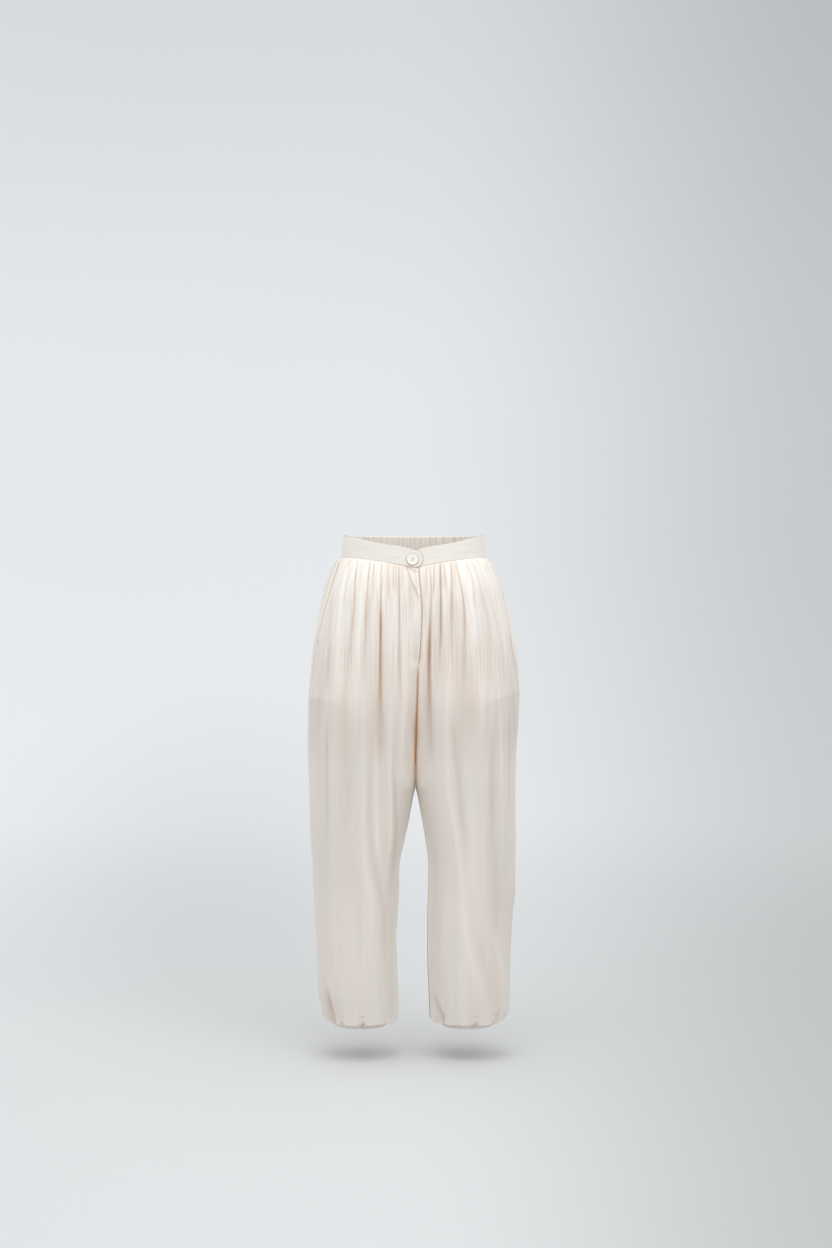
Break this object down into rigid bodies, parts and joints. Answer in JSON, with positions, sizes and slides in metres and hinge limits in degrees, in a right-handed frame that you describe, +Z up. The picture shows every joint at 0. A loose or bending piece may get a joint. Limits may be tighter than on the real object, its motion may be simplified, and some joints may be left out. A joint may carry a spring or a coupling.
{
  "type": "harem trousers",
  "caption": "Ivory satin harem trousers with a gathered waist, a dipped front waistband with a button, a fly and balloon hems drawn in by elastic.",
  "frame": {"origin": "middle of the waist opening, halfway up the side of the waistband, where the wearer holds the trousers up", "axes": "+Z up, -Y to the front of the trousers, +X to the wearer's left"},
  "size_m": [0.4275, 0.2744, 0.9875],
  "materials": {
    "ivory_satin": "washed satin with a soft sheen and fine slubs",
    "ivory_lining": "plain matte lining",
    "ivory_resin": "polished resin button"
  },
  "bodies": {
    "root": {"front_right": "ivory_satin", "front_left": "ivory_satin", "back_right": "ivory_satin", "back_left": "ivory_satin", "waistband_front_right": "ivory_satin", "waistband_front_left": "ivory_satin", "waistband_back": "ivory_satin", "fly_front": "ivory_satin", "pocket_right": "ivory_satin", "pocket_left": "ivory_satin", "hem_casing_right": "ivory_satin", "hem_casing_left": "ivory_satin", "lining_right": "ivory_lining", "lining_left": "ivory_lining", "waist_button": "ivory_resin"}
  },
  "joints": []
}
